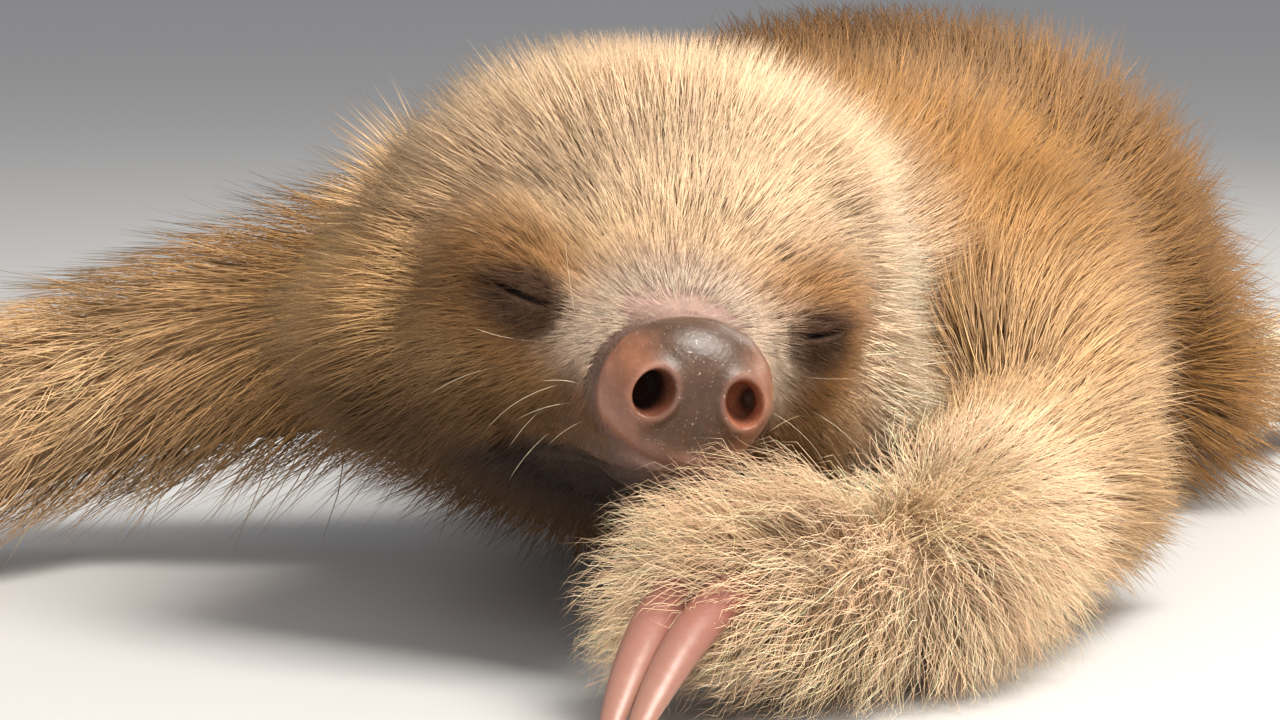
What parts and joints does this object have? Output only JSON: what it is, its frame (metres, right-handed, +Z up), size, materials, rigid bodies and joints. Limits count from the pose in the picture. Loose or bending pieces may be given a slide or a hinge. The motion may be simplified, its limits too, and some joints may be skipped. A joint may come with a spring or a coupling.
{
  "type": "two-toed sloth",
  "caption": "Life-size still model of an infant two-toed sloth asleep on its belly, head on one wrist, the other arm stretched out sideways.",
  "frame": {"origin": "middle of the footprint's bounding box, on the floor", "axes": "+X towards the animal's left side, -Y the way the nose points, +Z up"},
  "size_m": [0.2456, 0.3016, 0.0728],
  "materials": {
    "coat": "long soft golden-tan fur",
    "limb_coat": "soft tan fur",
    "face_coat": "short thin dark-brown fur over dark skin",
    "eyelid": "dark wrinkled bare skin",
    "nose": "moist bare skin",
    "claw": "smooth translucent horn"
  },
  "bodies": {
    "root": {"ear_left": "coat", "ear_right": "coat", "eye_left": "eyelid", "eye_right": "eyelid", "foot_left": "limb_coat", "foot_left_claw_1": "claw", "foot_left_claw_2": "claw", "foot_left_claw_3": "claw", "foot_right": "limb_coat", "foot_right_claw_1": "claw", "foot_right_claw_2": "claw", "foot_right_claw_3": "claw", "forearm_left": "limb_coat", "forearm_right": "limb_coat", "hand_left": "limb_coat", "hand_left_claw_1": "claw", "hand_left_claw_2": "claw", "hand_right": "limb_coat", "hand_right_claw_1": "claw", "hand_right_claw_2": "claw", "head": "coat", "lower_jaw": "face_coat", "neck": "coat", "nose": "nose", "shank_left": "limb_coat", "shank_right": "limb_coat", "snout": "face_coat", "thigh_left": "limb_coat", "thigh_right": "limb_coat", "trunk": "coat", "upper_arm_left": "limb_coat", "upper_arm_right": "limb_coat"}
  },
  "joints": []
}
